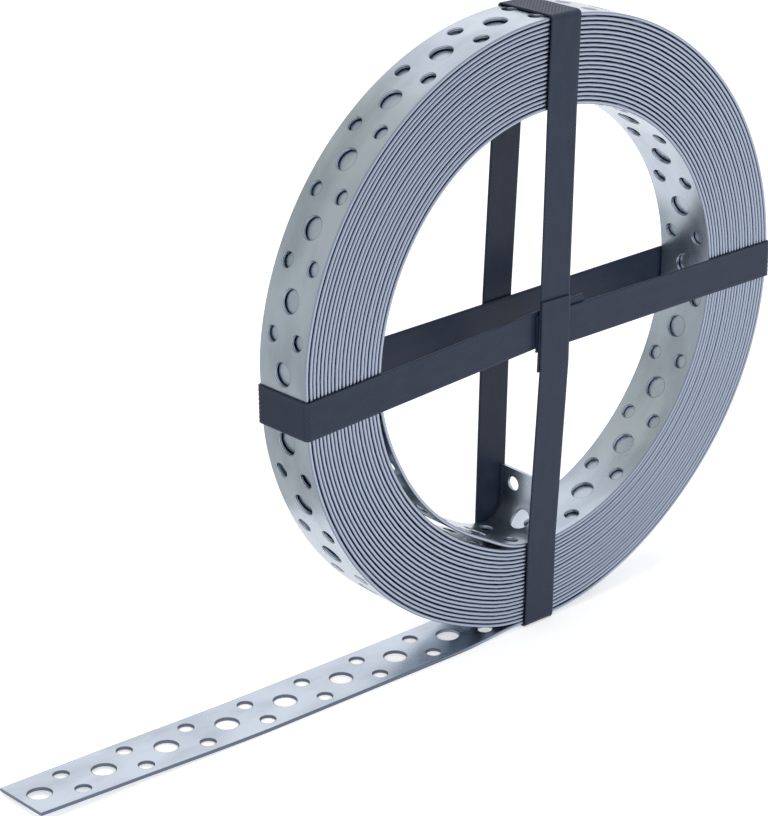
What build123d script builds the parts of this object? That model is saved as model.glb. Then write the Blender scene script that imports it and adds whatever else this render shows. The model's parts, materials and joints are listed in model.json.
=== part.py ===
from build123d import *
from math import cos, degrees, pi, sin, sqrt
import os

# Perforated steel fixing band, 20 x 1 mm, wound into a 10 m coil that stands on its rim, tied by two
# crossed strapping bands. The origin is on the floor, under the middle of the coil. The coil's axis runs
# along Y, its front end faces -Y, and the free outer end of the band lies on the floor towards -X.
# All sizes are in millimetres.

# The band's section and its holes: big holes on the centre line, pairs of small ones midway between them
band_width = 20.0
band_thick = 1.0
hole_pitch = 20.0
big_hole_dia = 6.5
small_hole_dia = 4.2
small_hole_spread = 10.4
wound_hole_sides = 8

# The coil
coil_dia = 180.0
bore_dia = 128.0
turn_count = 21
ridge_count = 12
side_step = 0.45

# The free outer end, which lies flat on the floor once it is clear of the strap under the coil
tail_length = 177.3
tail_end_to_hole = 5.8
tail_ramp_end = 22.0
tail_hole_count = 9

# The inner end, bent up across the bore
flap_bend_radius = 7.0
flap_bend_start = 6.6
flap_height = 15.5
flap_end_to_holes = 4.7
bore_first_hole = 3.6

# The two straps, each a closed loop whose ends lap in front, where the straps cross
strap_width = 11.0
strap_thick = 0.8
strap_gap = 0.1
across_drop = 1.5
across_lap_left = 7.5
across_lap_right = 12.0
upright_lap_low = 10.6
upright_lap_high = 10.0

# Worked out from the sizes above
coil_radius = coil_dia / 2
bore_radius = bore_dia / 2
turn_pitch = (coil_radius - bore_radius) / turn_count
axis_height = coil_radius + strap_gap + strap_thick
small_rows = (-small_hole_spread / 2, small_hole_spread / 2)
tail_lift = strap_thick + strap_gap
tail_first_hole = -tail_length + tail_end_to_hole
rim_first_hole = tail_first_hole + tail_hole_count * hole_pitch
rim_hole_count = int(2 * pi * (coil_radius - band_thick / 2) / hole_pitch) - 1
bore_hole_count = int(2 * pi * (bore_radius + band_thick / 2) / hole_pitch)


def around(first, count, band_radius, surface_radius):
    """Planes that face outwards where holes follow the wound band, one pitch apart along it.
    The first lies an arc length after the lowest point, turning towards +X."""
    planes = []
    for i in range(count):
        angle = (first + i * hole_pitch) / band_radius
        outward = Vector(sin(angle), 0, -cos(angle))
        place = Vector(0, 0, axis_height) + outward * surface_radius
        planes.append(Plane(origin=place, x_dir=(0, 1, 0), z_dir=outward))
    return planes


def end_profile(side):
    """The turned profile of one end, from the bore to the rim, with a ridge or valley at each step."""
    step = (coil_radius - bore_radius) / ridge_count
    points = []
    for i in range(ridge_count + 1):
        out = band_width / 2 - (side_step if i % 2 else 0)
        points.append((bore_radius + i * step, side * out))
    return points


def strap_loop(crossing, front_rise, rear_rise, lap_before, lap_after):
    """Draws one strap edge on, along its own plane's X, with its front at -Y and its ends lapped there.
    It bows out by the rises at the crossing, where it goes over the other strap."""
    half = coil_radius + strap_gap
    depth = band_width / 2 + strap_gap
    lap_start, lap_end = crossing - lap_before, crossing + lap_after
    with BuildLine() as inner:
        Polyline(
            (-half, -depth),
            (lap_start, -depth - front_rise),
            (lap_end, -depth - front_rise),
            (half, -depth),
            (half, depth),
            (lap_end, depth + rear_rise),
            (lap_start, depth + rear_rise),
            (-half, depth),
            close=True,
        )
    make_face(inner.edges())
    offset(amount=strap_thick, kind=Kind.ARC)
    with Locations(((lap_start + lap_end) / 2, -depth - front_rise - 1.5 * strap_thick)):
        Rectangle(lap_end - lap_start, strap_thick)
    make_face(inner.edges(), mode=Mode.SUBTRACT)


# The coil is turned in one piece, with a ridge or a valley where each turn meets the next.
# The first big hole on the rim follows the last one on the tail, one pitch along the band.
with BuildPart() as perforated_band:
    coil_plane = Plane(origin=(0, 0, axis_height), x_dir=(1, 0, 0), z_dir=(0, 0, 1))
    with BuildSketch(coil_plane):
        with BuildLine():
            Polyline(*end_profile(-1), *reversed(end_profile(1)), close=True)
        make_face()
    revolve(axis=Axis((0, 0, axis_height), (0, 1, 0)))

    # The free end leaves the lowest point over the strap, slopes down and lies on the floor
    ramp_start = -strap_width / 2 - strap_gap
    with BuildSketch(Plane.XZ):
        with BuildLine():
            Polyline(
                (0, tail_lift),
                (ramp_start, tail_lift),
                (ramp_start - tail_ramp_end, 0),
                (-tail_length, 0),
                (-tail_length, band_thick),
                (ramp_start - tail_ramp_end, band_thick),
                (ramp_start, tail_lift + band_thick),
                (0, tail_lift + band_thick),
                close=True,
            )
        make_face()
    extrude(amount=band_width / 2, both=True)

    # The inner end leaves the bore on a tight bend and stands nearly upright behind the strap
    centre_reach = bore_radius - flap_bend_radius
    bend_x = -flap_bend_start
    bend_z = axis_height - sqrt(centre_reach**2 - flap_bend_start**2)
    flap_top = axis_height - bore_radius + flap_height
    outer_bend = flap_bend_radius + band_thick
    lean = degrees(flap_bend_start / centre_reach)
    with BuildSketch(Plane.XZ):
        with BuildLine():
            inner_arc = CenterArc((bend_x, bend_z), flap_bend_radius, -90 - lean, 90 + lean)
            outer_arc = CenterArc((bend_x, bend_z), outer_bend, -90 - lean, 90 + lean)
            Line(inner_arc @ 0, outer_arc @ 0)
            Polyline(
                inner_arc @ 1,
                (bend_x + flap_bend_radius, flap_top),
                (bend_x + outer_bend, flap_top),
                outer_arc @ 1,
            )
        make_face()
    extrude(amount=band_width / 2, both=True)

    # Through holes in the free end
    tail_big = [(tail_first_hole + i * hole_pitch, 0) for i in range(tail_hole_count)]
    tail_small = [(x + hole_pitch / 2, y) for x, _ in tail_big[:-1] for y in small_rows]
    with BuildSketch(Plane.XY):
        with Locations(*tail_big):
            Circle(big_hole_dia / 2)
        with Locations(*tail_small):
            Circle(small_hole_dia / 2)
    extrude(amount=tail_lift + band_thick, mode=Mode.SUBTRACT)

    # Big holes in the outermost turn and, inside the bore, in the innermost one, down to the next turn
    rim_holes = around(rim_first_hole, rim_hole_count, coil_radius - band_thick / 2, coil_radius)
    bore_holes = around(bore_first_hole, bore_hole_count, bore_radius + band_thick / 2, bore_radius)
    with BuildSketch(*rim_holes, *bore_holes):
        RegularPolygon(big_hole_dia / 2, wound_hole_sides)
    extrude(amount=turn_pitch, both=True, mode=Mode.SUBTRACT)

    # Two small holes through the bent end
    with BuildSketch(Plane.YZ.offset(bend_x + flap_bend_radius)):
        with Locations(*[(y, flap_top - flap_end_to_holes) for y in small_rows]):
            Circle(small_hole_dia / 2)
    extrude(amount=band_thick, mode=Mode.SUBTRACT)


# The strap that lies across goes on first, flat against both ends of the coil
across_height = axis_height - across_drop
with BuildPart() as strap_across:
    with BuildSketch(Plane.XY.offset(across_height - strap_width / 2)):
        strap_loop(0, 0, 0, across_lap_left, across_lap_right)
    extrude(amount=strap_width)

# The upright strap goes on second, over the first one and its lapped ends. The coil stands on it.
upright_plane = Plane(origin=(strap_width / 2, 0, axis_height), x_dir=(0, 0, 1), z_dir=(-1, 0, 0))
with BuildPart() as strap_upright:
    with BuildSketch(upright_plane):
        rear_rise = strap_thick + strap_gap
        strap_loop(-across_drop, rear_rise + strap_thick, rear_rise, upright_lap_low, upright_lap_high)
    extrude(amount=strap_width)

perforated_band.part.label = "perforated_band"
strap_across.part.label = "strap_across"
strap_upright.part.label = "strap_upright"

os.makedirs("parts", exist_ok=True)
export_step(perforated_band.part, "parts/perforated_band.step")
export_step(strap_across.part, "parts/strap_across.step")
export_step(strap_upright.part, "parts/strap_upright.step")
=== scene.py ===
"""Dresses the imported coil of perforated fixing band: the wound band, its two straps, the studio and the camera."""

import json
from math import cos, degrees, exp, hypot, pi, radians, sin, tau

import bmesh
import bpy
from bpy.props import FloatProperty, FloatVectorProperty, IntProperty, PointerProperty
from mathutils import Matrix, Vector
from mathutils.geometry import delaunay_2d_cdt

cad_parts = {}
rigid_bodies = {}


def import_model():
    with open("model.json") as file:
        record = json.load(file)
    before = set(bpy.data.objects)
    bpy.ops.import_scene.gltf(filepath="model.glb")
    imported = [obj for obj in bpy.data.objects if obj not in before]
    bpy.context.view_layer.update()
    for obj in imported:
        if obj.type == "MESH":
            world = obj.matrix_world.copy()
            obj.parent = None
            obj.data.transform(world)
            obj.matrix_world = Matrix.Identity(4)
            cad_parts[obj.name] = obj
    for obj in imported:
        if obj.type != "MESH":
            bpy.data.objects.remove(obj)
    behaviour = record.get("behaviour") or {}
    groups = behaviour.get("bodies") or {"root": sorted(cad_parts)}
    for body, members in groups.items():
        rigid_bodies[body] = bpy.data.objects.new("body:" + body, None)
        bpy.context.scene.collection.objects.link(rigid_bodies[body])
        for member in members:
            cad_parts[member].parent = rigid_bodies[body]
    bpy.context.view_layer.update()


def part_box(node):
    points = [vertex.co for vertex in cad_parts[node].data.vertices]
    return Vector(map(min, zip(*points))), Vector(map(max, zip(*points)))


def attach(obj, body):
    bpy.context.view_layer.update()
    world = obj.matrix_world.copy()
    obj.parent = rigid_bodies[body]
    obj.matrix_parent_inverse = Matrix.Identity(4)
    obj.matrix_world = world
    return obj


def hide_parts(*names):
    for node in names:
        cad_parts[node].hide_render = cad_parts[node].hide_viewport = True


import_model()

bl_info = {
    "name": "Fixing band coil",
    "version": (1, 0, 0),
    "blender": (4, 5, 0),
    "location": "View3D > Sidebar > Band coil",
    "description": "Makes a coil of perforated steel band, tied by two crossed straps",
    "category": "Add Mesh",
}

MM = 0.001
BAND_LOW, BAND_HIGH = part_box("perforated_band")
STRAP_LOW, STRAP_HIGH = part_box("strap_across")
BAND_WIDTH = BAND_HIGH.y - BAND_LOW.y
COIL_RADIUS = BAND_HIGH.x
AXIS_HEIGHT = BAND_HIGH.z - BAND_HIGH.x
STRAP_WIDTH = STRAP_HIGH.z - STRAP_LOW.z


def linear(code):
    """An sRGB hex colour as linear red, green and blue."""
    parts = [int(code[i : i + 2], 16) / 255 for i in (1, 3, 5)]
    return tuple(p / 12.92 if p <= 0.04045 else ((p + 0.055) / 1.055) ** 2.4 for p in parts)


class BandSizes(bpy.types.PropertyGroup):
    width: FloatProperty(name="Width", description="Width of the steel band", default=BAND_WIDTH, unit="LENGTH")
    thickness: FloatProperty(name="Thickness", description="Thickness of the band", default=1.0 * MM, unit="LENGTH")
    edge_round: FloatProperty(
        name="Edge rounding", description="How far the slit edges are rounded", default=0.5 * MM, unit="LENGTH"
    )
    spacing: FloatProperty(
        name="Hole spacing", description="From one big hole to the next", default=20 * MM, unit="LENGTH"
    )
    big_hole: FloatProperty(name="Big hole", description="Diameter of the big holes", default=6.5 * MM, unit="LENGTH")
    small_hole: FloatProperty(
        name="Small hole", description="Diameter of the small holes", default=4.2 * MM, unit="LENGTH"
    )
    small_spread: FloatProperty(
        name="Small hole spread",
        description="From one small hole to the other of its pair",
        default=10.4 * MM,
        unit="LENGTH",
    )
    hole_round: FloatProperty(
        name="Hole rounding", description="Rounding of the punched rims", default=0.28 * MM, unit="LENGTH"
    )
    tip_to_hole: FloatProperty(
        name="Tip to hole", description="From the free tip to the first big hole", default=5.8 * MM, unit="LENGTH"
    )
    end_to_pair: FloatProperty(
        name="End to pair", description="From the bent end to its pair of small holes", default=4.7 * MM, unit="LENGTH"
    )


class CoilSizes(bpy.types.PropertyGroup):
    radius: FloatProperty(name="Radius", description="Outer radius of the coil", default=COIL_RADIUS, unit="LENGTH")
    axis_height: FloatProperty(
        name="Axis height",
        description="Height of the coil's middle above the floor",
        default=AXIS_HEIGHT,
        unit="LENGTH",
    )
    turns: IntProperty(name="Turns", description="Number of turns", default=21)
    turn_spacing: FloatProperty(
        name="Turn spacing",
        description="From one turn to the next, before it is fitted to the holes",
        default=1.208 * MM,
        unit="LENGTH",
    )
    free_length: FloatProperty(
        name="Free length",
        description="Length of the free end on the floor",
        default=-BAND_LOW.x - 1.2 * MM,
        unit="LENGTH",
    )
    free_bow: FloatProperty(
        name="Free end bow", description="How far the free end bows to the front", default=0.7 * MM, unit="LENGTH"
    )
    tip_lift: FloatProperty(
        name="Tip lift", description="How far the tip's front corner springs up", default=2.1 * MM, unit="LENGTH"
    )
    lifted_length: FloatProperty(
        name="Lifted length", description="Length over which the tip springs up", default=75 * MM, unit="LENGTH"
    )
    hole_creep: FloatProperty(
        name="Hole creep",
        description="How far the holes come later once the band is wound",
        default=2.8 * MM,
        unit="LENGTH",
    )
    hole_slip: FloatProperty(
        name="Hole slip",
        description="How far the holes shift over the last turn but one",
        default=1.6 * MM,
        unit="LENGTH",
    )
    end_creep: FloatProperty(
        name="End creep", description="How far the holes shift over the last turn", default=-2.3 * MM, unit="LENGTH"
    )
    last_turn_lift: FloatProperty(
        name="Last turn lift",
        description="How far the innermost turn springs off the others",
        default=1.45 * MM,
        unit="LENGTH",
    )
    bend_radius: FloatProperty(
        name="Bend radius", description="Radius of the bend at the inner end", default=7.5 * MM, unit="LENGTH"
    )
    bend_to_hole: FloatProperty(
        name="Bend to hole",
        description="From the start of the bend to the last big hole",
        default=7.0 * MM,
        unit="LENGTH",
    )
    wander: FloatProperty(
        name="Sideways wander", description="How far the turns stray sideways", default=0.09 * MM, unit="LENGTH"
    )


class StrapSizes(bpy.types.PropertyGroup):
    width: FloatProperty(name="Width", description="Width of the strapping", default=STRAP_WIDTH, unit="LENGTH")
    thickness: FloatProperty(
        name="Thickness", description="Thickness of the strapping", default=0.7 * MM, unit="LENGTH"
    )
    gap: FloatProperty(name="Gap", description="Gap under the strapping", default=0.1 * MM, unit="LENGTH")
    emboss_pitch: FloatProperty(
        name="Emboss pitch", description="From one embossed diamond to the next", default=1.2 * MM, unit="LENGTH"
    )
    emboss_depth: FloatProperty(
        name="Emboss depth", description="Depth of the embossing", default=0.15 * MM, unit="LENGTH"
    )


class Finishes(bpy.types.PropertyGroup):
    steel: FloatVectorProperty(
        name="Steel", description="Colour of the galvanised steel", subtype="COLOR", size=3, default=linear("#c0c9d5")
    )
    strapping: FloatVectorProperty(
        name="Strapping", description="Colour of the plastic straps", subtype="COLOR", size=3, default=linear("#2c384d")
    )


def add_node(tree, kind, inputs=None, **settings):
    """Adds a node with its settings. Each of its inputs is given a value, or a link from another node's output."""
    made = tree.nodes.new(kind)
    for name, value in settings.items():
        setattr(made, name, value)
    for key, value in (inputs or {}).items():
        if isinstance(value, bpy.types.NodeSocket):
            tree.links.new(value, made.inputs[key])
        else:
            made.inputs[key].default_value = value
    return made


def map_range(tree, value, start, end, low=0.0, high=1.0, smooth=False):
    """Takes the value from start and end to low and high, and keeps it within them."""
    limits = {"Value": value, "From Min": start, "From Max": end, "To Min": low, "To Max": high}
    kind = "SMOOTHSTEP" if smooth else "LINEAR"
    return add_node(tree, "ShaderNodeMapRange", limits, interpolation_type=kind).outputs[0]


def ramp(value, start, end):
    """Rises smoothly from 0 at the start to 1 at the end, and is level beyond them. The end may be the lower."""
    share = max(0.0, min(1.0, (value - start) / (end - start)))
    return share * share * (3 - 2 * share)


# The path of the band

# From one point of a path to the next, and the same in radians round the turns
PATH_STEP, TURN_STEP = 2 * MM, 0.025

# The coil isn't quite round. Each shape has, in millimetres, a level and waves (lobes, size, turn in degrees),
# then bulges and dents (place and spread in degrees, size). Places are counted from the lowest point.
OUTER_SHAPE = (
    -0.17,
    ((1, 0.49, -176), (2, 0.44, 56), (3, 0.31, 36)),
    ((350, 8, 0.85), (38, 22, -0.81), (272, 6, -0.6)),
)
INNER_SHAPE = (
    -0.33,
    ((1, 0.53, -135), (2, 0.41, -3), (3, 0.47, 21)),
    ((350, 12, 0.94), (295, 25, 0.47), (238, 30, -1.2)),
)
# The turns take on their shape over the first of these angles, and their unevenness over the second, in radians
SHAPED_BY, UNEVEN_BY = 0.35, 6
# Small uneven gaps between the turns, as waves: size in millimetres, speed and start in radians
GAP_WAVES = ((0.028, 0.31, 1), (0.022, 1.37, 2), (0.015, 2.61, 0))
# How the turns stray sideways, as waves: share of the wander, and speed
SIDE_WAVES = ((0.5, 0.43), (0.3, 1.7), (0.2, 3.1))
# The degrees of the last turn where it leaves the others, is furthest off them, starts back and is back
SPRUNG = (268, 300, 336, 352)
# How far before the lowest point the last turn goes over into its bend, in radians
BEND_BEFORE = 0.115


def stand_off(angle, shape):
    """How far a turn of that shape stands off a true circle, at an angle from the lowest point."""
    level, waves, bulges = shape
    off = level + sum(size * cos(lobes * angle + radians(turn)) for lobes, size, turn in waves)
    for place, spread, size in bulges:
        away = (degrees(angle) - place + 180) % 360 - 180
        off += size * exp(-((away / spread) ** 2))
    return off * MM


def inner_end_angle(coil):
    """The angle at which the last turn goes over into its bend."""
    return coil.turns * tau - BEND_BEFORE


def turn_radius(coil, band, theta, spacing):
    """The radius of the band's middle line, theta radians along from the lowest point, winding inwards."""
    angle, inward = theta % tau, theta / (tau * coil.turns)
    even = coil.radius - band.thickness / 2 - spacing * theta / tau
    off = (1 - inward) * stand_off(angle, OUTER_SHAPE) + inward * stand_off(angle, INNER_SHAPE)
    off *= ramp(theta, 0, SHAPED_BY)
    uneven = sum(size * sin(speed * theta + start) for size, speed, start in GAP_WAVES)
    last = degrees(theta - tau * (coil.turns - 1))
    leaves, furthest, starts_back, back = SPRUNG
    sprung = coil.last_turn_lift * ramp(last, leaves, furthest) * ramp(last, back, starts_back)
    return even + off + uneven * MM * min(1, theta / UNEVEN_BY) - sprung


def band_path(coil, band, spacing):
    """Points along the middle line of the band: the free end, its ramp over the strap, the turns and the bent end.
    The second result is the length along it at which the bend starts."""
    ramp_start, ramp_end, rise = -33 * MM, -11 * MM, 0.9 * MM
    bow_start, bow_full, bow_falls, bow_end = -150 * MM, -100 * MM, -38 * MM, -8 * MM
    points = []
    x = -coil.free_length
    while x < -PATH_STEP / 2:
        lift = rise * ramp(x, ramp_start, ramp_end)
        bow = coil.free_bow * ramp(x, bow_start, bow_full) * ramp(x, bow_end, bow_falls)
        points.append(Vector((x, -bow, band.thickness / 2 + lift)))
        x += PATH_STEP
    end = inner_end_angle(coil)
    count = int(end / TURN_STEP)
    for i in range(count + 1):
        theta = end * i / count
        radius = turn_radius(coil, band, theta, spacing)
        stray = sum(share * sin(speed * theta) for share, speed in SIDE_WAVES)
        side = coil.wander * stray * min(1, theta / UNEVEN_BY)
        points.append(Vector((radius * sin(theta), side, coil.axis_height - radius * cos(theta))))
    to_bend = path_length(points)
    heading = points[-1] - points[-2]
    slope = Vector((1, 0)).angle_signed(Vector((heading.x, -heading.z)))
    bend_middle = points[-1] + coil.bend_radius * Vector((-sin(slope), 0, cos(slope)))
    bend_steps, upright_steps, upright = 30, 40, 20 * MM
    for i in range(1, bend_steps + 1):
        turned = slope + (pi / 2 - slope) * i / bend_steps
        points.append(bend_middle + coil.bend_radius * Vector((sin(turned), 0, -cos(turned))))
    points += [points[-1] + Vector((0, 0, upright * i / upright_steps)) for i in range(1, upright_steps + 1)]
    return points, to_bend


def fitted_path(coil, band):
    """The band's path, wound a touch tighter or looser so that a big hole comes at its place in the bend.
    The second result is the number of big holes."""
    spacing = coil.turn_spacing
    for _ in range(3):
        points, to_bend = band_path(coil, band, spacing)
        crept = coil.hole_creep + coil.hole_slip + coil.end_creep
        pitches = (to_bend + coil.bend_to_hole - crept - band.tip_to_hole) / band.spacing
        spacing += (pitches - round(pitches)) * band.spacing / (pi * coil.turns**2)
    return points, round(pitches) + 1


def path_length(points):
    return sum((b - a).length for a, b in zip(points, points[1:]))


def path_object(name, points):
    curve = bpy.data.curves.new(name, "CURVE")
    curve.dimensions = "3D"
    spline = curve.splines.new("POLY")
    spline.points.add(len(points) - 1)
    spline.points.foreach_set("co", [c for p in points for c in (*p, 1.0)])
    return bpy.data.objects.new(name, curve)


# Flat pieces that the strip tree lays end to end


def edge_profile(width, thickness, rounding, steps):
    """Half a section of a strip, from the edge of its top face round to the edge of its bottom face."""
    points = []
    for i in range(steps + 1):
        angle = pi / 2 - pi * i / steps
        points.append((width / 2 - rounding + rounding * cos(angle), thickness / 2 * sin(angle)))
    return points


def circle_points(x, y, radius, sides):
    turns = [tau * i / sides for i in range(sides)]
    return [Vector((x + radius * cos(turn), y + radius * sin(turn))) for turn in turns]


def skin_edge(bm, side, profile, xs, tops, bottoms):
    """Closes one long edge of a piece, from its top face round to its bottom one. Returns the lines round it."""
    lines = []
    for x, top, bottom in zip(xs, tops, bottoms):
        lines.append([top, *(bm.verts.new((x, side * y, z)) for y, z in profile[1:-1]), bottom])
    for left, right in zip(lines, lines[1:]):
        for k in range(len(profile) - 1):
            quad = (left[k], right[k], right[k + 1], left[k + 1])
            bm.faces.new(quad if side > 0 else tuple(reversed(quad)))
    return lines


def cap_end(bm, ring, capped):
    """Closes the near end of a piece if capped is -1, or its far end if it is 1."""
    cap = bm.faces.new(ring if capped < 0 else list(reversed(ring)))
    for edge in cap.edges:
        edge.smooth = False


def mesh_object(name, bm, smooth=False):
    for face in bm.faces:
        face.smooth = smooth
    mesh = bpy.data.meshes.new(name)
    bm.to_mesh(mesh)
    bm.free()
    return bpy.data.objects.new(name, mesh)


# The rows of points between a piece's edges, as shares of its half width, and how far they keep off the holes
GRID_ROWS = (-0.84, -0.56, -0.28, 0, 0.28, 0.56, 0.84)
GRID_CLEARANCE = 0.8 * MM


def flat_piece(name, start, end, columns, profile, holes, rounding, capped=0):
    """A length of flat strip along X, open at its ends so that the next piece joins it, unless capped is -1 or 1.
    Each hole is (x, y, radius, sides); a rounding of 0 leaves the holes' rims sharp."""
    bm = bmesh.new()
    half, top = profile[0]
    xs = [start + (end - start) * i / columns for i in range(columns + 1)]

    outline = [Vector((x, -half)) for x in xs] + [Vector((x, half)) for x in reversed(xs)]
    flat = list(outline)
    edges = [(i, (i + 1) % len(outline)) for i in range(len(outline))]
    rims = []
    for hx, hy, radius, sides in holes:
        first = len(flat)
        flat += circle_points(hx, hy, radius + rounding, sides)
        rims.append(range(first, first + sides))
        edges += [(first + i, first + (i + 1) % sides) for i in range(sides)]
    if holes:
        for x in xs[1:-1]:
            for y in (half * share for share in GRID_ROWS):
                if all(hypot(x - h[0], y - h[1]) > h[2] + rounding + GRID_CLEARANCE for h in holes):
                    flat.append(Vector((x, y)))
    # The sheet is divided into faces in millimetres, because lengths in metres are too small for it
    per_metre, tolerance = 1000, 1e-6
    co, _, faces, origin, _, _ = delaunay_2d_cdt([v * per_metre for v in flat], edges, [], 0, tolerance, True)
    places = {o: i for i, group in enumerate(origin) for o in group}
    kept = []
    for face in faces:
        middle = sum((co[i] for i in face), Vector((0, 0))) / len(face) / per_metre
        if all(hypot(middle.x - h[0], middle.y - h[1]) > (h[2] + rounding) * cos(pi / h[3]) for h in holes):
            kept.append(face)

    sheets = []
    for side in (1, -1):
        verts = [bm.verts.new((c.x / per_metre, c.y / per_metre, side * top)) for c in co]
        for face in kept:
            order = face if side > 0 else reversed(face)
            bm.faces.new([verts[i] for i in order])
        sheets.append(verts)

    for (hx, hy, radius, sides), rim in zip(holes, rims):
        rings = [[sheets[0][places[i]] for i in rim]]
        levels = []
        if rounding:
            levels = [(rounding * (1 - sin(a)), top - rounding * (1 - cos(a))) for a in (pi / 4, pi / 2)]
            levels += [(r, -z) for r, z in reversed(levels)]
        for extra, z in levels:
            rings.append([bm.verts.new((*spot, z)) for spot in circle_points(hx, hy, radius + extra, sides)])
        rings.append([sheets[1][places[i]] for i in rim])
        for upper, lower in zip(rings, rings[1:]):
            for i in range(sides):
                j = (i + 1) % sides
                bm.faces.new((upper[i], upper[j], lower[j], lower[i]))
        for ring in (rings[0], rings[-1]):
            for i in range(sides):
                bm.edges.get((ring[i], ring[(i + 1) % sides])).smooth = False

    skins = {}
    for side in (1, -1):
        corners = [places[i if side < 0 else len(outline) - 1 - i] for i in range(len(xs))]
        tops, bottoms = ([sheet[corner] for corner in corners] for sheet in sheets)
        skins[side] = skin_edge(bm, side, profile, xs, tops, bottoms)
        for left, right in zip(skins[side], skins[side][1:]):
            for k in (0, -1):
                bm.edges.get((left[k], right[k])).smooth = False
    if capped:
        place = 0 if capped < 0 else -1
        cap_end(bm, skins[1][place] + list(reversed(skins[-1][place])), capped)
    return mesh_object(name, bm, smooth=True)


def embossed_piece(name, length, strap, capped=0):
    """A length of strapping along X, with diamonds pressed into both faces."""
    bm = bmesh.new()
    margin, rounding = 0.5 * MM, 0.3 * MM
    across = round((strap.width - 2 * margin) / strap.emboss_pitch) * 2
    along = round(length / strap.emboss_pitch) * 2
    xs = [length * i / along for i in range(along + 1)]
    profile = edge_profile(strap.width, strap.thickness, rounding, steps=4)
    half, top = profile[0]
    grids = []
    for side in (1, -1):
        rows = []
        for i, x in enumerate(xs):
            row = []
            for j in range(across + 1):
                inside = 0 < j < across
                sunk = strap.emboss_depth if inside and (i + j) % 2 else 0
                row.append(bm.verts.new((x, -half + 2 * half * j / across, side * (top - sunk))))
            rows.append(row)
        for i, (low, high) in enumerate(zip(rows, rows[1:])):
            for j in range(across):
                quad = (low[j], high[j], high[j + 1], low[j + 1])
                turned = quad if (i + j) % 2 == 0 else quad[1:] + quad[:1]
                for corners in (turned[:3], turned[2:] + turned[:1]):
                    bm.faces.new(corners if side > 0 else tuple(reversed(corners)))
        grids.append(rows)
    skins = {}
    for side, j in ((-1, 0), (1, across)):
        tops, bottoms = ([row[j] for row in rows] for rows in grids)
        skins[side] = skin_edge(bm, side, profile, xs, tops, bottoms)
    if capped:
        i = 0 if capped < 0 else -1
        ring = skins[1][i] + grids[1][i][-2:0:-1] + list(reversed(skins[-1][i])) + grids[0][i][1:-1]
        cap_end(bm, ring, capped)
    return mesh_object(name, bm, smooth=True)


# The node tree that makes the band and the straps

SHIFTS = ("Hole creep", "Hole slip", "End creep")
STRIP_INPUTS = (
    ("Path", "NodeSocketObject", None),
    ("First piece", "NodeSocketObject", None),
    ("Last piece", "NodeSocketObject", None),
    ("Pieces", "NodeSocketCollection", None),
    ("Spacing", "NodeSocketFloat", 0.02),
    ("Start", "NodeSocketFloat", 0.0),
    ("Count", "NodeSocketInt", 10),
    ("Outer middling", "NodeSocketInt", 0),
    ("Outer detailed", "NodeSocketInt", 0),
    ("Inner middling", "NodeSocketInt", 0),
    ("Inner detailed", "NodeSocketInt", 0),
    ("Bent", "NodeSocketInt", 0),
    ("Across", "NodeSocketVector", (0.0, 1.0, 0.0)),
    ("Half width", "NodeSocketFloat", 0.01),
    ("Half thickness", "NodeSocketFloat", 0.0005),
    ("Tip lift", "NodeSocketFloat", 0.0),
    ("Lifted length", "NodeSocketFloat", 1.0),
    *((shift, "NodeSocketFloat", 0.0) for shift in SHIFTS),
    *((shift + " from", "NodeSocketFloat", 0.0) for shift in SHIFTS),
    *((shift + " to", "NodeSocketFloat", 1.0) for shift in SHIFTS),
    # Where the painted shade on the cut edges near the tip ends
    ("Shaded edge to", "NodeSocketFloat", 0.0),
    ("Material", "NodeSocketMaterial", None),
)


# Where the slit edge starts, as a share of the half width, and a hole's rim, of the half thickness
EDGE_FROM, RIM_FROM = 0.92, 0.8
# How far faces turn from level where the edge and a rim are rounded, and how dark a rim is painted, as uncoated steel
# and partly painted shade
EDGE_TURNS, RIM_TURNS, RIM_BARE_AND_SHADE = 0.003, 0.02, 0.16
# How dark the edges near the tip are painted, as painted shade for the shadowed floor that they mirror, and up to which
# share of the length given they are fully so
TIP_EDGE_SHADE, TIP_SHARE = 0.8, 0.7
# Where an edge starts and ends going down into the groove beside it, as shares of the half thickness; over it the steel
# is painted darker, as painted shade between the turns
GROOVE = (0.35, 0.8)
# The lift of the tip: at its middle, what its front edge has more, and the power of its curve
TIP_MIDDLE, TIP_SLANT, TIP_CURVE = 0.665, 0.335, 1.5
# Points this near to each other are one where two pieces meet
MERGED = 0.02 * MM


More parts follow.
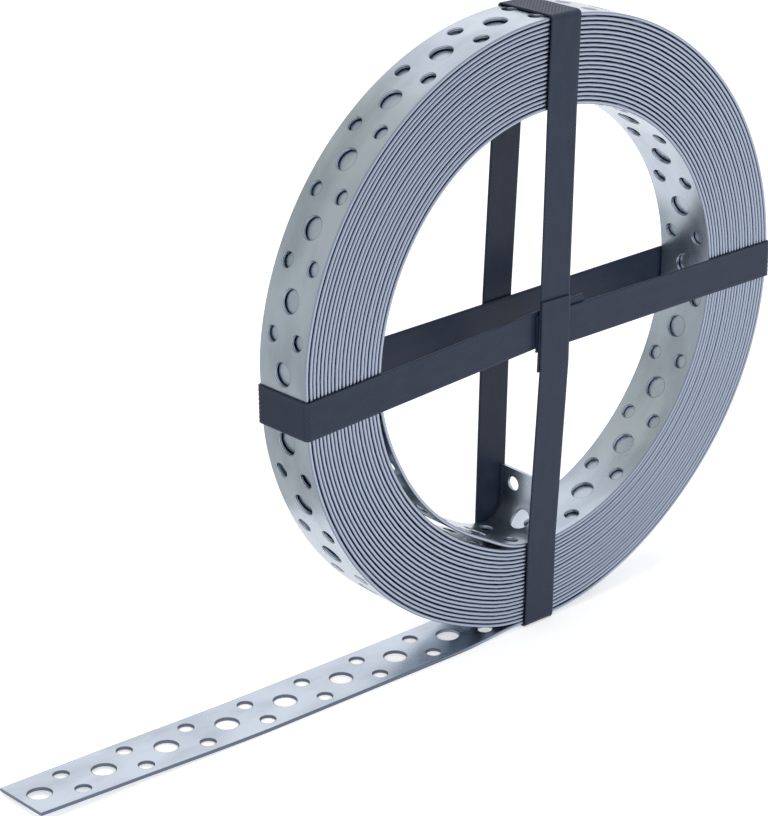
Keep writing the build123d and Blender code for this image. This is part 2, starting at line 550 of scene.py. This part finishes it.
def strip_tree():
    """Lays pieces end to end along X, wraps them along a path and joins them to one closed strip."""
    tree = bpy.data.node_groups.new("Strip along a path", "GeometryNodeTree")
    for name, kind, default in STRIP_INPUTS:
        socket = tree.interface.new_socket(name, in_out="INPUT", socket_type=kind)
        if default is not None:
            socket.default_value = default
    tree.interface.new_socket("Geometry", in_out="OUTPUT", socket_type="NodeSocketGeometry")
    given = add_node(tree, "NodeGroupInput").outputs

    def maths(operation, *values):
        return add_node(tree, "ShaderNodeMath", dict(enumerate(values)), operation=operation).outputs[0]

    def vectors(operation, *values):
        return add_node(tree, "ShaderNodeVectorMath", dict(enumerate(values)), operation=operation).outputs[0]

    def store(geometry, name, value, domain, data_type="FLOAT"):
        inputs = {"Geometry": geometry, "Name": name, "Value": value}
        kind = "GeometryNodeStoreNamedAttribute"
        return add_node(tree, kind, inputs, data_type=data_type, domain=domain).outputs[0]

    start = add_node(tree, "ShaderNodeCombineXYZ", {"X": given["Start"]}).outputs[0]
    offset = add_node(tree, "ShaderNodeCombineXYZ", {"X": given["Spacing"]}).outputs[0]
    spots = {"Count": given["Count"], "Start Location": start, "Offset": offset}
    line = add_node(tree, "GeometryNodeMeshLine", spots, mode="OFFSET").outputs[0]
    index = add_node(tree, "GeometryNodeInputIndex").outputs[0]
    from_end = maths("SUBTRACT", maths("SUBTRACT", given["Count"], 1.0), index)

    kind = None
    for outer, inner in (("Outer middling", "Inner middling"), ("Outer detailed", "Inner detailed"), (None, "Bent")):
        near = maths("LESS_THAN", from_end, given[inner])
        if outer:
            near = maths("MAXIMUM", maths("LESS_THAN", index, given[outer]), near)
        kind = near if kind is None else maths("ADD", kind, near)

    is_first = maths("LESS_THAN", index, 0.5)
    is_last = maths("LESS_THAN", from_end, 0.5)
    is_between = maths("SUBTRACT", 1.0, maths("MAXIMUM", is_first, is_last))
    chosen = {"Collection": given["Pieces"], "Separate Children": True, "Reset Children": True}
    pieces = add_node(tree, "GeometryNodeCollectionInfo", chosen).outputs[0]
    first_piece, last_piece = (
        add_node(tree, "GeometryNodeObjectInfo", {"Object": given[name], "As Instance": True}).outputs["Geometry"]
        for name in ("First piece", "Last piece")
    )
    joined = add_node(tree, "GeometryNodeJoinGeometry")
    for where, laid in (
        (is_between, {"Instance": pieces, "Pick Instance": True, "Instance Index": kind}),
        (is_first, {"Instance": first_piece}),
        (is_last, {"Instance": last_piece}),
    ):
        values = {"Points": line, "Selection": where, **laid}
        tree.links.new(add_node(tree, "GeometryNodeInstanceOnPoints", values).outputs[0], joined.inputs[0])
    real = add_node(tree, "GeometryNodeRealizeInstances", {"Geometry": joined.outputs[0]}).outputs[0]
    closed = add_node(tree, "GeometryNodeMergeByDistance", {"Geometry": real, "Distance": MERGED}).outputs[0]

    place = add_node(tree, "GeometryNodeInputPosition").outputs[0]
    flat = add_node(tree, "ShaderNodeSeparateXYZ", {0: place}).outputs
    marked = store(closed, "along", place, "CORNER", "FLOAT2")

    # How dark a face is painted: the rims of holes a little, as uncoated steel and partly painted shade, and the cut
    # edges near the free end, as painted shade for the shadowed floor that they mirror
    normal = add_node(tree, "GeometryNodeInputNormal").outputs[0]
    facing = add_node(tree, "ShaderNodeSeparateXYZ", {0: normal}).outputs["Z"]
    steep = maths("SUBTRACT", 1.0, maths("ABSOLUTE", facing))
    depth = maths("DIVIDE", maths("ABSOLUTE", flat["Z"]), given["Half thickness"])
    in_edge = maths("GREATER_THAN", maths("ABSOLUTE", flat["Y"]), maths("MULTIPLY", given["Half width"], EDGE_FROM))
    in_rim = maths("MULTIPLY", maths("SUBTRACT", 1.0, in_edge), maths("GREATER_THAN", depth, RIM_FROM))
    fully_shaded = maths("MULTIPLY", given["Shaded edge to"], TIP_SHARE)
    near_tip = map_range(tree, flat["X"], given["Shaded edge to"], fully_shaded, high=TIP_EDGE_SHADE)
    rim = maths("MULTIPLY", maths("MULTIPLY", in_rim, maths("GREATER_THAN", steep, RIM_TURNS)), RIM_BARE_AND_SHADE)
    bare = maths("MAXIMUM", rim, maths("MULTIPLY", steep, near_tip))
    marked = store(marked, "bare", bare, "FACE")
    edge = maths("MULTIPLY", in_edge, maths("GREATER_THAN", steep, EDGE_TURNS))
    marked = store(marked, "edge", edge, "FACE")
    # How deep a place on a cut edge lies in the groove between two turns, where the steel is painted darker as painted
    # shade
    is_edge = add_node(tree, "GeometryNodeInputNamedAttribute", {"Name": "edge"}).outputs[0]
    groove = map_range(tree, depth, *GROOVE, smooth=True)
    marked = store(marked, "groove", maths("MULTIPLY", groove, is_edge), "CORNER")
    marked = store(marked, "sunk", maths("SUBTRACT", 1.0, depth), "POINT")

    path = add_node(tree, "GeometryNodeObjectInfo", {"Object": given["Path"]}).outputs["Geometry"]
    length = flat["X"]
    for shift in SHIFTS:
        reached = map_range(tree, flat["X"], given[shift + " from"], given[shift + " to"], high=given[shift])
        length = maths("ADD", length, reached)
    sample = add_node(tree, "GeometryNodeSampleCurve", {"Curves": path, "Length": length}, mode="LENGTH")
    forwards = vectors("NORMALIZE", sample.outputs["Tangent"])
    inwards = vectors("NORMALIZE", vectors("CROSS_PRODUCT", forwards, given["Across"]))
    across = vectors("CROSS_PRODUCT", inwards, forwards)

    # The tip springs up, its front edge most and its rear edge a third as far
    left = maths("DIVIDE", maths("SUBTRACT", given["Lifted length"], flat["X"]), given["Lifted length"])
    left = maths("POWER", maths("MAXIMUM", left, 0.0), TIP_CURVE)
    slant = maths("DIVIDE", maths("MULTIPLY", flat["Y"], TIP_SLANT), given["Half width"])
    side = maths("SUBTRACT", TIP_MIDDLE, slant)
    height = maths("ADD", flat["Z"], maths("MULTIPLY", maths("MULTIPLY", left, side), given["Tip lift"]))

    wrapped = vectors("SCALE", across)
    tree.links.new(flat["Y"], wrapped.node.inputs["Scale"])
    raised = vectors("SCALE", inwards)
    tree.links.new(height, raised.node.inputs["Scale"])
    final = vectors("ADD", vectors("ADD", sample.outputs["Position"], wrapped), raised)
    moved = add_node(tree, "GeometryNodeSetPosition", {"Geometry": marked, "Position": final}).outputs[0]
    coated = add_node(tree, "GeometryNodeSetMaterial", {"Geometry": moved, "Material": given["Material"]}).outputs[0]
    add_node(tree, "NodeGroupOutput", {"Geometry": coated})
    return tree


def make_strip(name, values, pieces, helpers):
    """Runs the strip tree with the values and returns the finished mesh as an object."""
    workshop = bpy.data.collections.new(name + "_pieces")
    for piece in pieces:
        workshop.objects.link(piece)
    bench = bpy.data.collections.new(name + "_helpers")
    bpy.context.scene.collection.children.link(bench)
    for helper in helpers:
        bench.objects.link(helper)
    holder = bpy.data.objects.new(name + "_holder", bpy.data.meshes.new(name + "_holder"))
    bench.objects.link(holder)
    tree = bpy.data.node_groups.get("Strip along a path") or strip_tree()
    modifier = holder.modifiers.new("Strip", "NODES")
    modifier.node_group = tree
    identifiers = {item.name: item.identifier for item in tree.interface.items_tree if item.in_out == "INPUT"}
    for key, value in {**values, "Pieces": workshop}.items():
        modifier[identifiers[key]] = value
    graph = bpy.context.evaluated_depsgraph_get()
    graph.update()
    evaluated = holder.evaluated_get(graph)
    mesh = bpy.data.meshes.new_from_object(evaluated, preserve_all_data_layers=True, depsgraph=graph)
    if not mesh.polygons:
        raise RuntimeError(f"the tree made nothing for {name}")
    mesh.name = name
    finished = bpy.data.objects.new(name, mesh)
    bpy.context.scene.collection.objects.link(finished)
    holder.modifiers.clear()
    for helper in [holder, *helpers, *pieces]:
        data = helper.data
        bpy.data.objects.remove(helper)
        (bpy.data.curves if isinstance(data, bpy.types.Curve) else bpy.data.meshes).remove(data)
    bpy.data.collections.remove(bench)
    bpy.data.collections.remove(workshop)
    return finished


# Materials


def empty_tree(owner):
    """The node tree of a material or a world, without the nodes that it comes with."""
    owner.use_nodes = True
    owner.node_tree.nodes.clear()
    return owner.node_tree


def new_material(name):
    material = bpy.data.materials.new(name)
    tree = empty_tree(material)
    shader = add_node(tree, "ShaderNodeBsdfPrincipled")
    add_node(tree, "ShaderNodeOutputMaterial", {"Surface": shader.outputs[0]})
    return material, tree, shader


def strip_noise(tree, per_metre, detail):
    """Noise on the strip as it was before it was bent, with so many patches to the metre along and across it."""
    along = add_node(tree, "ShaderNodeUVMap", uv_map="along").outputs[0]
    stretched = add_node(tree, "ShaderNodeMapping", {"Vector": along, "Scale": (*per_metre, 1.0)}).outputs[0]
    return add_node(tree, "ShaderNodeTexNoise", {"Vector": stretched, "Scale": 1.0, "Detail": detail}).outputs[0]


def strip_mark(tree, name):
    return add_node(tree, "ShaderNodeAttribute", attribute_name=name).outputs["Fac"]


def mix_colours(tree, amount, first, second):
    return add_node(tree, "ShaderNodeMix", {0: amount, 6: first, 7: (*second, 1)}, data_type="RGBA").outputs[2]


def two_tones(tree, amount, *stops):
    """Goes from one colour to another as the amount goes from place to place. Each stop is (place, colour)."""
    tint = add_node(tree, "ShaderNodeValToRGB", {"Fac": amount})
    for element, (place, colour) in zip(tint.color_ramp.elements, stops):
        element.position, element.color = place, (*colour, 1)
    return tint.outputs[0]


def galvanised_steel(base):
    """Continuously galvanised steel strip: a thin bright zinc coat, rolled smooth, with soft cloudy patches. Its slit
    edges and punched rims are duller.
    It is painted darker deep in the grooves between the turns, as painted shade; at the punched rims, as uncoated steel
    and partly painted shade; and on the cut edges near the tip, as painted shade for the shadowed floor that they
    mirror."""
    material, tree, shader = new_material("galvanised_steel_strip")
    shader.inputs["Metallic"].default_value = 1.0
    bare = map_range(tree, strip_mark(tree, "bare"), 0.02, 0.2)
    groove = strip_mark(tree, "groove")
    # Clouds in the zinc, about 25 mm long and 12 mm wide
    clouds = strip_noise(tree, (40.0, 80.0), detail=3.0)
    colour = two_tones(tree, clouds, (0.35, linear("#a9b2be")), (0.62, base))
    # The slit edges are duller. The grooves between the turns are painted darker, as painted shade; the punched rims
    # are painted darker as uncoated steel and partly painted shade, and the cut edges near the tip as painted shade for
    # the shadowed floor that they mirror
    for amount, code in ((strip_mark(tree, "edge"), "#a5aebe"), (groove, "#8690a6"), (bare, "#687180")):
        colour = mix_colours(tree, amount, colour, linear(code))
    tree.links.new(colour, shader.inputs["Base Color"])
    # The zinc is smoother in some clouds than in others, and rough on the punched rims, on the cut edges near the tip
    # and deep in a groove
    sheen = map_range(tree, clouds, 0.35, 0.65, 0.24, 0.32)
    dull = add_node(tree, "ShaderNodeMath", {0: bare, 1: groove}, operation="MAXIMUM").outputs[0]
    rough = add_node(tree, "ShaderNodeMix", {0: dull, 2: sheen, 3: 0.42}).outputs[0]
    tree.links.new(rough, shader.inputs["Roughness"])
    # Fine rolling lines along the band, 0.4 mm apart, drawn coarser than real so that they show
    lines = strip_noise(tree, (30.0, 2500.0), detail=2.0)
    bump = add_node(tree, "ShaderNodeBump", {"Height": lines, "Strength": 0.012, "Distance": 0.2 * MM})
    tree.links.new(bump.outputs[0], shader.inputs["Normal"])
    return material


def strapping_plastic(base):
    """Polypropylene strapping: dark, satin, embossed with diamonds, with painted shade darkening their hollows."""
    material, tree, shader = new_material("polypropylene_strapping")
    shader.inputs["IOR"].default_value = 1.49
    shader.inputs["Specular IOR Level"].default_value = 0.25
    shader.inputs["Roughness"].default_value = 0.38
    # Patches where the strap was drawn more and went duller, about 8 mm long and 3 mm wide
    patches = strip_noise(tree, (120.0, 330.0), detail=4.0)
    colour = two_tones(tree, patches, (0.35, linear("#283348")), (0.65, base))
    # Painted shade: the hollows of the diamonds are painted darker than the ridges
    hollow_shade = map_range(tree, strip_mark(tree, "sunk"), 0.0, 0.4, high=0.5)
    tree.links.new(mix_colours(tree, hollow_shade, colour, linear("#151a24")), shader.inputs["Base Color"])
    return material


# The pieces


# The radius of the innermost turn, to count its pieces by
INNER_RADIUS = 66 * MM


class COIL_OT_wound_band(bpy.types.Operator):
    """Makes the perforated steel band: free end, turns and bent inner end"""

    bl_idname = "coil.wound_band"
    bl_label = "Wound band"

    def execute(self, context):
        band, coil, finish = context.scene.band_sizes, context.scene.coil_sizes, context.scene.coil_finishes
        points, count = fitted_path(coil, band)
        profile = edge_profile(band.width, band.thickness, band.edge_round, steps=7)

        def piece(name, columns, sides=32, rounding=band.hole_round, start=-0.25, end=0.75, capped=0):
            """A piece of band from start to end, in hole spacings from its big hole."""
            holes = []
            if sides:
                half_pair = band.small_spread / 2
                holes = [(0.0, 0.0, band.big_hole / 2, sides)]
                holes += [(band.spacing / 2, y, band.small_hole / 2, sides * 3 // 4) for y in (-half_pair, half_pair)]
            start, end = start * band.spacing, end * band.spacing
            return flat_piece(name, start, end, columns, profile, holes, rounding, capped)

        # The band is plain inside the coil, and gets its holes and their roundings where they can be seen
        pieces = [
            piece("piece_0_plain", columns=4, sides=0, rounding=0),
            piece("piece_1_middling", columns=6, sides=20, rounding=0),
            piece("piece_2_detailed", columns=12),
            piece("piece_3_bent", columns=24),
        ]
        first = piece("first", columns=9, start=-band.tip_to_hole / band.spacing, capped=-1)
        last = piece("last", columns=24, end=0.5 + band.end_to_pair / band.spacing, capped=1)
        path = path_object("band_path", points)
        # Pieces in the outermost turn and the free end, in the innermost turn, and in the turns next to those
        outer_turn = round((coil.free_length + tau * coil.radius) / band.spacing) + 1
        inner_turn = round(tau * INNER_RADIUS / band.spacing) + 2
        next_outer, next_inner = 28, 21
        bend_at = band.tip_to_hole + (count - 1) * band.spacing - coil.bend_to_hole
        values = {
            "Path": path,
            "First piece": first,
            "Last piece": last,
            "Spacing": band.spacing,
            "Start": band.tip_to_hole,
            "Count": count,
            "Outer middling": outer_turn + next_outer,
            "Outer detailed": outer_turn,
            "Inner middling": inner_turn + next_inner,
            "Inner detailed": inner_turn,
            "Bent": 2,
            "Across": (0.0, 1.0, 0.0),
            "Half width": band.width / 2,
            "Half thickness": band.thickness / 2,
            "Tip lift": coil.tip_lift,
            "Lifted length": coil.lifted_length,
            "Hole creep": coil.hole_creep,
            "Hole creep from": coil.free_length - 30 * MM,
            "Hole creep to": coil.free_length + 250 * MM,
            "Hole slip": coil.hole_slip,
            "Hole slip from": bend_at - 700 * MM,
            "Hole slip to": bend_at - 410 * MM,
            "End creep": coil.end_creep,
            "End creep from": bend_at - 325 * MM,
            "End creep to": bend_at - 250 * MM,
            # Up to here the cut edges of the free end get painted shade, darker towards the tip
            "Shaded edge to": coil.free_length - 20 * MM,
            "Material": galvanised_steel(tuple(finish.steel)),
        }
        wound = make_strip("wound_band", values, pieces, [path, first, last])
        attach(wound, "root")
        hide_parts("perforated_band")
        return {"FINISHED"}


def rim_radius(context, angle_deg):
    """The coil's outer radius at an angle from its lowest point."""
    scene = context.scene
    coil, band = scene.coil_sizes, scene.band_sizes
    return turn_radius(coil, band, radians(angle_deg), coil.turn_spacing) + band.thickness / 2


# The straps bend tightly round the coil's corners and gently where they turn by less than a sharp turn
CORNER_BEND, GENTLE_BEND, ARC_STEP = 0.95 * MM, 12 * MM, 0.4 * MM
SHARP_TURN, LEAST_TURN = radians(40), radians(0.5)
# A bend takes up at most this share of the straight before it and after it
MOST_REACH = 0.45
LAP_GAP, CROSSING_GAP = 0.05 * MM, 0.1 * MM
DIAMONDS_PER_PIECE = 4


def rounded_path(corners):
    """A line through the corners, with an arc at each one that turns by more than a trace."""
    points = [corners[0].copy()]
    for before, corner, after in zip(corners, corners[1:], corners[2:]):
        arriving, leaving = (corner - before).normalized(), (after - corner).normalized()
        turn = arriving.angle(leaving)
        if turn < LEAST_TURN:
            points.append(corner.copy())
            continue
        bend = CORNER_BEND if turn > SHARP_TURN else GENTLE_BEND
        room = min((corner - before).length, (after - corner).length) * MOST_REACH
        reach = min(bend * sin(turn / 2) / cos(turn / 2), room)
        bend = reach * cos(turn / 2) / sin(turn / 2)
        middle_way = (leaving - arriving).normalized()
        middle = corner + middle_way * (bend / cos(turn / 2))
        start = corner - arriving * reach
        axis = arriving.cross(leaving).normalized()
        steps = max(2, int(turn * bend / ARC_STEP))
        for i in range(steps + 1):
            points.append(middle + Matrix.Rotation(turn * i / steps, 3, axis) @ (start - middle))
    points.append(corners[-1].copy())
    filled = [points[0]]
    for point in points[1:]:
        gap = point - filled[-1]
        pieces = max(1, int(gap.length / PATH_STEP))
        base = filled[-1].copy()
        filled += [base + gap * i / pieces for i in range(1, pieces + 1)]
    return filled


def strap_planes(context):
    """How far a strap's middle line lies off the coil, and where that line runs in front and behind."""
    strap, band = context.scene.strap_sizes, context.scene.band_sizes
    out = strap.gap + strap.thickness / 2
    return out, -(band.width / 2 + out), band.width / 2 + out


def make_strap(context, name, corners, across):
    strap, finish = context.scene.strap_sizes, context.scene.coil_finishes
    points = rounded_path([Vector(c) for c in corners])
    length = path_length(points)
    count = round(length / (DIAMONDS_PER_PIECE * strap.emboss_pitch))
    spacing = length / count
    path = path_object(name + "_path", points)
    pieces = [embossed_piece(name + "_plain", spacing, strap)]
    first = embossed_piece(name + "_first", spacing, strap, -1)
    last = embossed_piece(name + "_last", spacing, strap, 1)
    material = bpy.data.materials.get("polypropylene_strapping") or strapping_plastic(tuple(finish.strapping))
    values = {
        "Path": path,
        "First piece": first,
        "Last piece": last,
        "Spacing": spacing,
        "Start": 0.0,
        "Count": count,
        "Across": across,
        "Half width": strap.width / 2,
        "Half thickness": strap.thickness / 2,
        "Material": material,
    }
    made = make_strip(name, values, pieces, [path, first, last])
    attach(made, "root")
    return made


class COIL_OT_strap_across(bpy.types.Operator):
    """Makes the first strap, which lies across the coil with its ends lapped in front"""

    bl_idname = "coil.strap_across"
    bl_label = "Strap across"

    def execute(self, context):
        strap, middle = context.scene.strap_sizes, context.scene.coil_sizes.axis_height
        out, front, rear = strap_planes(context)
        left = -(rim_radius(context, 270) + out)
        right = rim_radius(context, 90) + out
        lapped = front - strap.thickness - LAP_GAP
        corners = [
            (12 * MM, front, middle + 2.8 * MM),
            (left, front, middle - 4.4 * MM),
            (left, rear, middle - 5.0 * MM),
            (-62 * MM, rear, middle - 2.8 * MM),
            (right, rear, middle + 0.1 * MM),
            (right, front, middle + 0.9 * MM),
            (63 * MM, front, middle + 0.8 * MM),
            (13 * MM, lapped, middle + 0.6 * MM),
            (-7 * MM, lapped, middle + 0.5 * MM),
        ]
        made = make_strap(context, "across_strap", corners, (0.0, 0.0, 1.0))
        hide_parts("strap_across")
        return {"FINISHED"}


class COIL_OT_strap_upright(bpy.types.Operator):
    """Makes the second strap, which passes under the coil and over the first strap"""

    bl_idname = "coil.strap_upright"
    bl_label = "Strap upright"

    def execute(self, context):
        strap, coil = context.scene.strap_sizes, context.scene.coil_sizes
        middle = coil.axis_height
        out, front, rear = strap_planes(context)
        over_front = front - 2 * strap.thickness - CROSSING_GAP
        over_rear = rear + strap.thickness + CROSSING_GAP
        top = middle + rim_radius(context, 180) + out
        bottom = middle - coil.radius - out
        lapped = over_front - strap.thickness - LAP_GAP
        corners = [
            (-1.6 * MM, over_front, 80 * MM),
            (-0.7 * MM, over_front, 101 * MM),
            (2.1 * MM, front, 154 * MM),
            (3.1 * MM, front, top),
            (2.8 * MM, rear, top),
            (-1.3 * MM, over_rear, middle + 6.5 * MM),
            (-1.8 * MM, over_rear, middle - 6.5 * MM),
            (-5.1 * MM, rear, bottom),
            (-3.4 * MM, front, bottom),
            (-2.7 * MM, front, 27 * MM),
            (-1.2 * MM, lapped, 81.5 * MM),
            (-1.0 * MM, lapped, 101 * MM),
        ]
        made = make_strap(context, "upright_strap", corners, (1.0, 0.0, 0.0))
        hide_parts("strap_upright")
        return {"FINISHED"}


# The studio


def seen_rays(tree):
    """1 for rays that show a surface, to the camera or in a mirror or glass, and 0 for those that light one."""
    rays = add_node(tree, "ShaderNodeLightPath").outputs
    seen = rays["Is Camera Ray"]
    for kind in ("Is Glossy Ray", "Is Transmission Ray"):
        seen = add_node(tree, "ShaderNodeMath", {0: seen, 1: rays[kind]}, operation="MAXIMUM").outputs[0]
    return seen


def white_world():
    """White where it is seen, and dimmer as a lamp, so that the coil keeps its darks."""
    world = bpy.data.worlds.new("white_studio")
    tree = empty_tree(world)
    strength = map_range(tree, seen_rays(tree), 0.0, 1.0, low=0.55)
    white = add_node(tree, "ShaderNodeBackground", {"Color": (1, 1, 1, 1), "Strength": strength})
    add_node(tree, "ShaderNodeOutputWorld", {"Surface": white.outputs[0]})
    return world


def white_floor():
    bm = bmesh.new()
    bmesh.ops.create_circle(bm, cap_ends=True, segments=96, radius=6.0)
    floor = mesh_object("floor", bm)
    material = bpy.data.materials.new("white_floor")
    tree = empty_tree(material)
    paint = add_node(tree, "ShaderNodeBsdfDiffuse", {"Color": (0.86, 0.86, 0.86, 1)})
    # Far from the lamps the floor glows a little more, so that it stays as white as the world behind it
    spot = add_node(tree, "ShaderNodeTexCoord").outputs["Object"]
    away = add_node(tree, "ShaderNodeVectorMath", {0: spot}, operation="LENGTH").outputs["Value"]
    lift = map_range(tree, away, 0.5, 2.5, 0.42, 0.56)
    lift = add_node(tree, "ShaderNodeMath", {0: seen_rays(tree), 1: lift}, operation="MULTIPLY").outputs[0]
    glow = add_node(tree, "ShaderNodeEmission", {"Color": (1, 1, 1, 1), "Strength": lift})
    both = add_node(tree, "ShaderNodeAddShader", {0: paint.outputs[0], 1: glow.outputs[0]})
    add_node(tree, "ShaderNodeOutputMaterial", {"Surface": both.outputs[0]})
    floor.data.materials.append(material)
    return floor


def round_lamp(name, place, target, size, power, mirrored):
    """A lamp that shines from its place to the target. The steel shows it only if it is mirrored."""
    data = bpy.data.lights.new(name, "AREA")
    data.shape = "DISK"
    data.size = size
    data.energy = power
    lamp = bpy.data.objects.new(name, data)
    lamp.location = Vector(place)
    lamp.rotation_euler = (target - Vector(place)).to_track_quat("-Z", "Y").to_euler()
    lamp.visible_glossy = mirrored
    return lamp


def grey_card(centre):
    """A curved grey card behind the coil, to the left, with a foot that runs in towards the coil along the floor.
    It glows with a grey light of its own rather than reflecting the lamps, and only the steel mirrors it."""
    columns, rows, reach = 24, 16, 0.62
    left_from, left_over, rise_from, rise_over, foot_share = 3, 77, -8, 64, 1 / 6
    bm = bmesh.new()
    grid = []
    for i in range(columns + 1):
        turn = radians(left_from + left_over * i / columns)
        line = []
        for j in range(rows + 1):
            rise = radians(rise_from + rise_over * j / rows)
            spot = Vector((-sin(turn) * cos(rise), cos(turn) * cos(rise), sin(rise))) * reach + centre
            line.append(bm.verts.new(spot))
        foot = line[0].co
        grid.append([bm.verts.new((foot.x * foot_share, foot.y * foot_share, foot.z)), *line])
    for left, right in zip(grid, grid[1:]):
        for j in range(rows + 1):
            bm.faces.new((left[j], left[j + 1], right[j + 1], right[j]))
    card = mesh_object("grey_card", bm)
    material = bpy.data.materials.new("grey_card")
    tree = empty_tree(material)
    spot = add_node(tree, "ShaderNodeTexCoord").outputs["Object"]
    height = add_node(tree, "ShaderNodeSeparateXYZ", {0: spot}).outputs["Z"]
    shade = mix_colours(tree, map_range(tree, height, 0.15, 0.55), (0.64, 0.66, 0.64, 1), (0.64, 0.66, 0.6))
    glow = add_node(tree, "ShaderNodeEmission", {"Color": shade, "Strength": 1.0})
    add_node(tree, "ShaderNodeOutputMaterial", {"Surface": glow.outputs[0]})
    card.data.materials.append(material)
    card.visible_camera = card.visible_diffuse = card.visible_shadow = False
    return card


def photo_camera(centre):
    """The camera, where the photograph puts it."""
    azimuth, elevation, roll = radians(-39.99), radians(22.35), radians(-0.41)
    distance, aim_right, aim_up = 0.7401, -0.04063, -0.02501
    back = Vector((sin(azimuth) * cos(elevation), -cos(azimuth) * cos(elevation), sin(elevation)))
    right = (-back).cross(Vector((0, 0, 1))).normalized()
    up = right.cross(-back)
    right, up = cos(roll) * right + sin(roll) * up, -sin(roll) * right + cos(roll) * up
    data = bpy.data.cameras.new("camera")
    data.lens = 114.87
    data.sensor_width = 36
    data.clip_start, data.clip_end = 0.01, 50
    camera = bpy.data.objects.new("camera", data)
    place = centre + aim_right * right + aim_up * up + back * distance
    camera.matrix_world = Matrix.Translation(place) @ Matrix((right, up, back)).transposed().to_4x4()
    return camera


class COIL_OT_stage(bpy.types.Operator):
    """Makes the white studio, its lamps and the camera at the photograph's angle"""

    bl_idname = "coil.stage"
    bl_label = "Studio"

    def execute(self, context):
        scene = context.scene
        scene.view_settings.view_transform = "Standard"
        scene.world = white_world()
        placed = scene.collection.objects
        centre = Vector((0, 0, AXIS_HEIGHT))

        floor = white_floor()
        placed.link(floor)
        for name, place, size, power, mirrored in (
            ("soft_back", (1.2, 1.45, 1.15), 2.4, 3, True),
            ("soft_top", (0.3, 0.2, 2.4), 2.0, 18, False),
            ("soft_front", (-0.3, -2.2, 1.3), 1.8, 14, False),
            ("soft_left", (-2.2, -0.6, 1.2), 1.4, 7, False),
        ):
            placed.link(round_lamp(name, place, centre, size, power, mirrored))
        card = grey_card(centre)
        placed.link(card)
        scene.camera = photo_camera(centre)
        placed.link(scene.camera)
        return {"FINISHED"}


class COIL_PT_panel(bpy.types.Panel):
    """The coil's pieces and their sizes"""

    bl_idname = "COIL_PT_panel"
    bl_label = "Band coil"
    bl_space_type = "VIEW_3D"
    bl_region_type = "UI"
    bl_category = "Band coil"

    def draw(self, context):
        for operator in OPERATORS:
            self.layout.operator(operator.bl_idname)
        for group in GROUPS:
            box = self.layout.box()
            for name in GROUPS[group].__annotations__:
                box.prop(getattr(context.scene, group), name)


GROUPS = {
    "band_sizes": BandSizes,
    "coil_sizes": CoilSizes,
    "strap_sizes": StrapSizes,
    "coil_finishes": Finishes,
}
OPERATORS = (COIL_OT_stage, COIL_OT_wound_band, COIL_OT_strap_across, COIL_OT_strap_upright)


def register():
    for made in (*GROUPS.values(), *OPERATORS, COIL_PT_panel):
        bpy.utils.register_class(made)
    for name, group in GROUPS.items():
        setattr(bpy.types.Scene, name, PointerProperty(type=group))


def unregister():
    for name in GROUPS:
        delattr(bpy.types.Scene, name)
    for made in reversed((*GROUPS.values(), *OPERATORS, COIL_PT_panel)):
        bpy.utils.unregister_class(made)


def main():
    register()
    bpy.ops.coil.stage()
    bpy.ops.coil.wound_band()
    bpy.ops.coil.strap_across()
    bpy.ops.coil.strap_upright()


if __name__ == "__main__":
    main()
